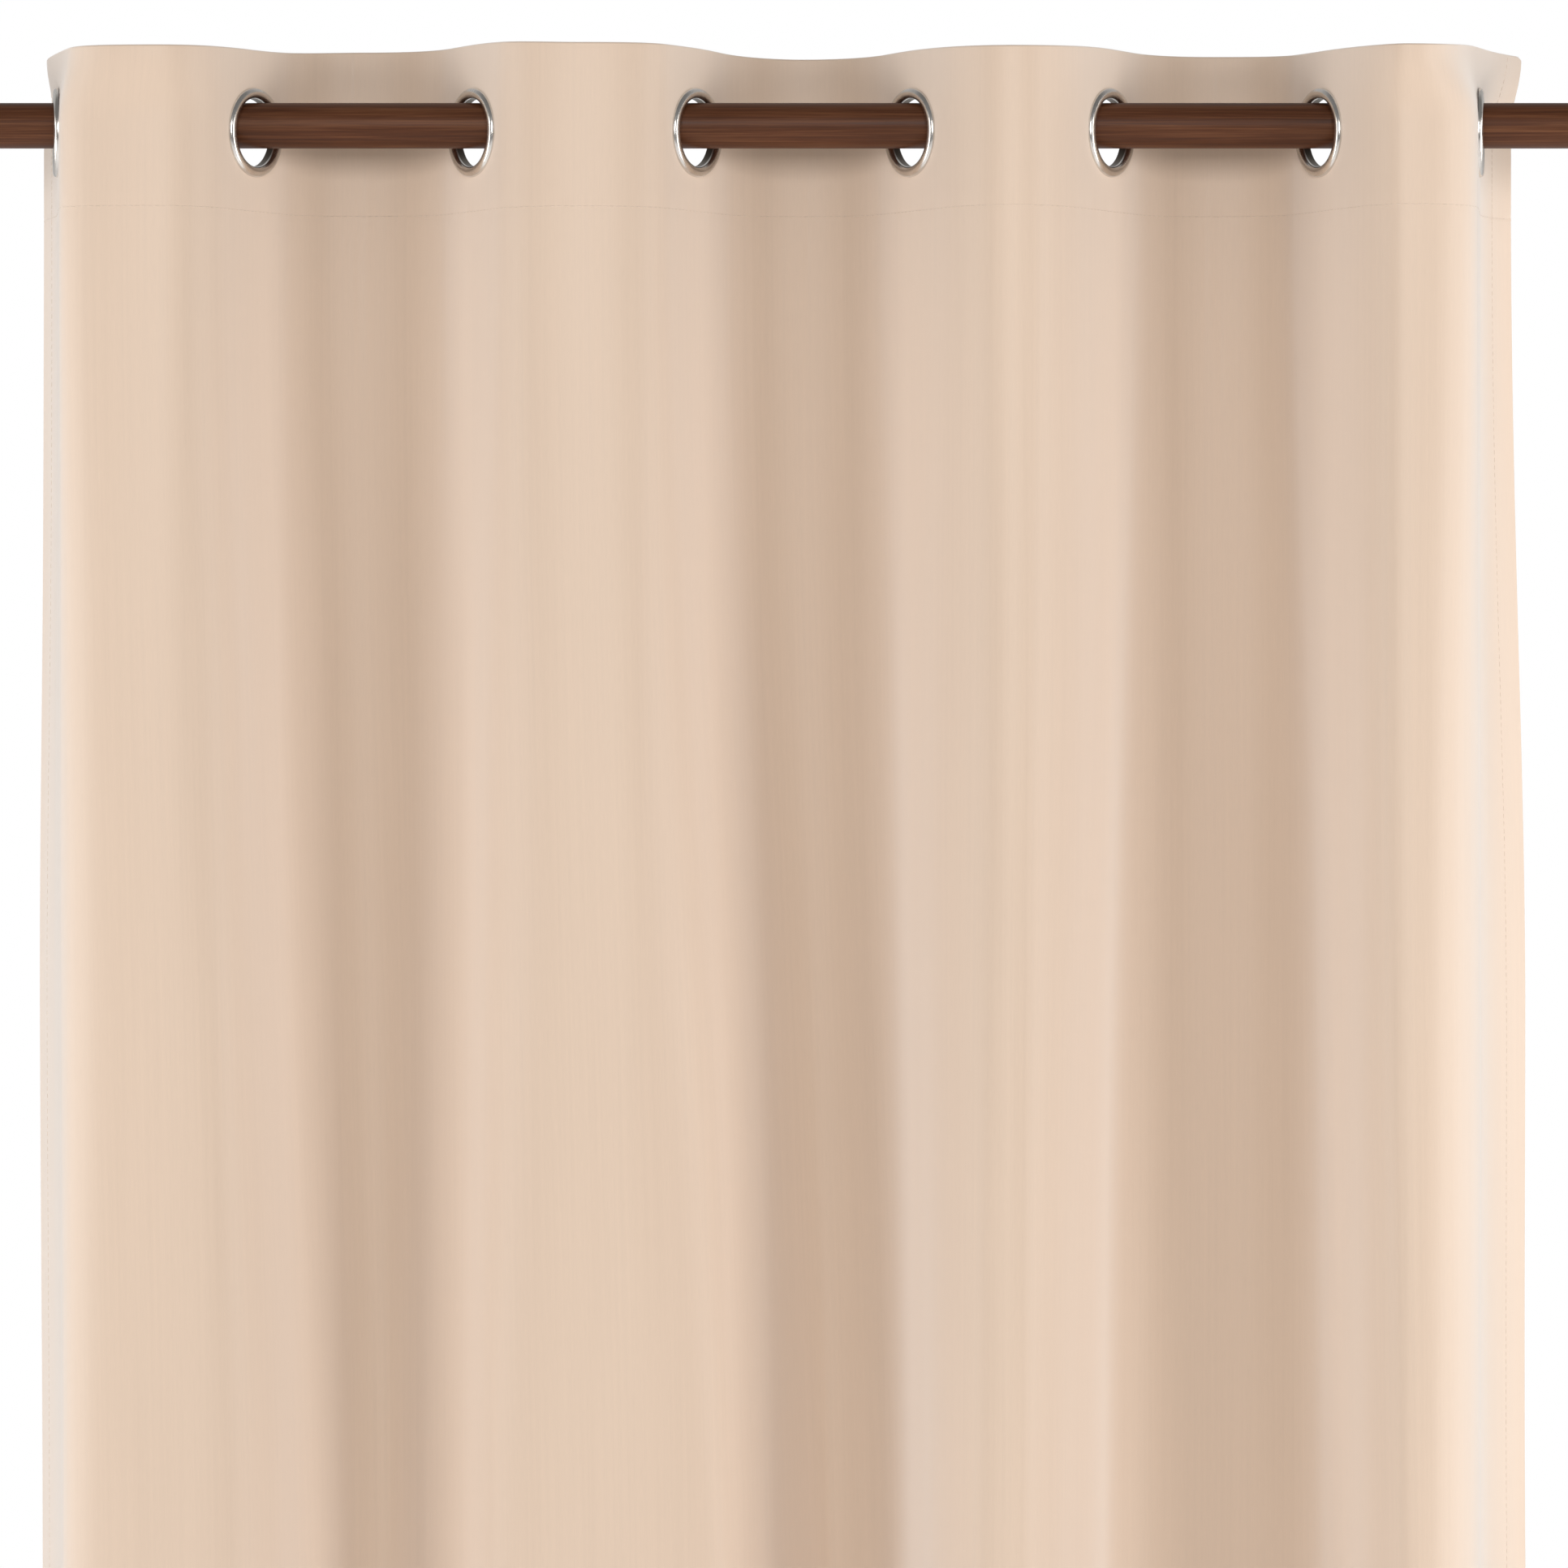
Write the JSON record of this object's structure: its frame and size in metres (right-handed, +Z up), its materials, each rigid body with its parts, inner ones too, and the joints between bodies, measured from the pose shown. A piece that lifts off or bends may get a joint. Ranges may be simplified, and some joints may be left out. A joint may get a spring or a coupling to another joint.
{
  "type": "eyelet curtain on a rod",
  "caption": "Floor-length eyelet curtain hanging in soft waves on a round wooden rod, with metal eyelets, wall brackets and ball finials; draws along the rod.",
  "frame": {"origin": "on the wall plane, level with the rod's axis and at the middle of the rod", "axes": "+X along the rod to the viewer's right, +Y into the wall, +Z up"},
  "size_m": [1.33, 0.2095, 2.6],
  "materials": {
    "curtain_cloth": "satin weave, beige",
    "stiffener": "matt, off-white",
    "eyelet_nickel": "polished nickel",
    "bracket_nickel": "satin nickel",
    "steel": "zinc plated",
    "walnut": "dark walnut stain, satin lacquer"
  },
  "bodies": {
    "rod_and_brackets": {"rod": "walnut", "finial_collar_left": "bracket_nickel", "finial_collar_right": "bracket_nickel", "wall_disc_left": "steel", "bracket_left": "bracket_nickel", "bracket_grub_screw_left": "steel", "rod_screw_left": "steel", "wall_screw_left_upper": "steel", "wall_screw_left_lower": "steel", "wall_disc_right": "steel", "bracket_right": "bracket_nickel", "bracket_grub_screw_right": "steel", "rod_screw_right": "steel", "wall_screw_right_upper": "steel", "wall_screw_right_lower": "steel"},
    "finial_left": {"finial_left": "walnut", "finial_dowel_screw_left": "steel"},
    "finial_right": {"finial_right": "walnut", "finial_dowel_screw_right": "steel"},
    "panel_1": {"heading_1": "curtain_cloth", "cloth_1": "curtain_cloth", "heading_tape_1": "stiffener", "eyelet_front_1": "eyelet_nickel", "eyelet_back_1": "eyelet_nickel"},
    "panel_2": {"heading_2": "curtain_cloth", "cloth_2": "curtain_cloth", "heading_tape_2": "stiffener", "eyelet_front_2": "eyelet_nickel", "eyelet_back_2": "eyelet_nickel"},
    "panel_3": {"heading_3": "curtain_cloth", "cloth_3": "curtain_cloth", "heading_tape_3": "stiffener", "eyelet_front_3": "eyelet_nickel", "eyelet_back_3": "eyelet_nickel"},
    "panel_4": {"heading_4": "curtain_cloth", "cloth_4": "curtain_cloth", "heading_tape_4": "stiffener", "eyelet_front_4": "eyelet_nickel", "eyelet_back_4": "eyelet_nickel"},
    "panel_5": {"heading_5": "curtain_cloth", "cloth_5": "curtain_cloth", "heading_tape_5": "stiffener", "eyelet_front_5": "eyelet_nickel", "eyelet_back_5": "eyelet_nickel"},
    "panel_6": {"heading_6": "curtain_cloth", "cloth_6": "curtain_cloth", "heading_tape_6": "stiffener", "eyelet_front_6": "eyelet_nickel", "eyelet_back_6": "eyelet_nickel"},
    "panel_7": {"heading_7": "curtain_cloth", "cloth_7": "curtain_cloth", "heading_tape_7": "stiffener", "eyelet_front_7": "eyelet_nickel", "eyelet_back_7": "eyelet_nickel"},
    "panel_8": {"heading_8": "curtain_cloth", "cloth_8": "curtain_cloth", "heading_tape_8": "stiffener", "eyelet_front_8": "eyelet_nickel", "eyelet_back_8": "eyelet_nickel"}
  },
  "joints": [
    {"name": "draw", "type": "hinge", "parent": "rod_and_brackets", "child": "panel_1", "pos_m": [-0.446, -0.11, 0], "axis": [0, 0, -1], "range_deg": [-4, 28]},
    {"name": "fold_1", "type": "hinge", "parent": "panel_1", "child": "panel_2", "pos_m": [-0.3865, -0.15989, 0], "axis": [0, 0, 1], "range_deg": [-8, 56]},
    {"name": "fold_2", "type": "hinge", "parent": "panel_2", "child": "panel_3", "pos_m": [-0.259, -0.06425, 0], "axis": [0, 0, -1], "range_deg": [-8, 56]},
    {"name": "fold_3", "type": "hinge", "parent": "panel_3", "child": "panel_4", "pos_m": [-0.123, -0.15575, 0], "axis": [0, 0, 1], "range_deg": [-8, 56]},
    {"name": "fold_4", "type": "hinge", "parent": "panel_4", "child": "panel_5", "pos_m": [0.012, -0.06223, 0], "axis": [0, 0, -1], "range_deg": [-8, 56]},
    {"name": "fold_5", "type": "hinge", "parent": "panel_5", "child": "panel_6", "pos_m": [0.1395, -0.16913, 0], "axis": [0, 0, 1], "range_deg": [-8, 56]},
    {"name": "fold_6", "type": "hinge", "parent": "panel_6", "child": "panel_7", "pos_m": [0.2655, -0.06174, 0], "axis": [0, 0, -1], "range_deg": [-8, 56]},
    {"name": "fold_7", "type": "hinge", "parent": "panel_7", "child": "panel_8", "pos_m": [0.379, -0.17413, 0], "axis": [0, 0, 1], "range_deg": [-8, 56]},
    {"name": "finial_left_off", "type": "slide", "parent": "rod_and_brackets", "child": "finial_left", "axis": [-1, 0, 0], "range_m": [0, 0.05]},
    {"name": "finial_right_off", "type": "slide", "parent": "rod_and_brackets", "child": "finial_right", "axis": [1, 0, 0], "range_m": [0, 0.05]}
  ],
  "couplings": [
    {"joint": "fold_1", "follows": "draw", "ratio": 2},
    {"joint": "fold_2", "follows": "draw", "ratio": 2},
    {"joint": "fold_3", "follows": "draw", "ratio": 2},
    {"joint": "fold_4", "follows": "draw", "ratio": 2},
    {"joint": "fold_5", "follows": "draw", "ratio": 2},
    {"joint": "fold_6", "follows": "draw", "ratio": 2},
    {"joint": "fold_7", "follows": "draw", "ratio": 2}
  ]
}
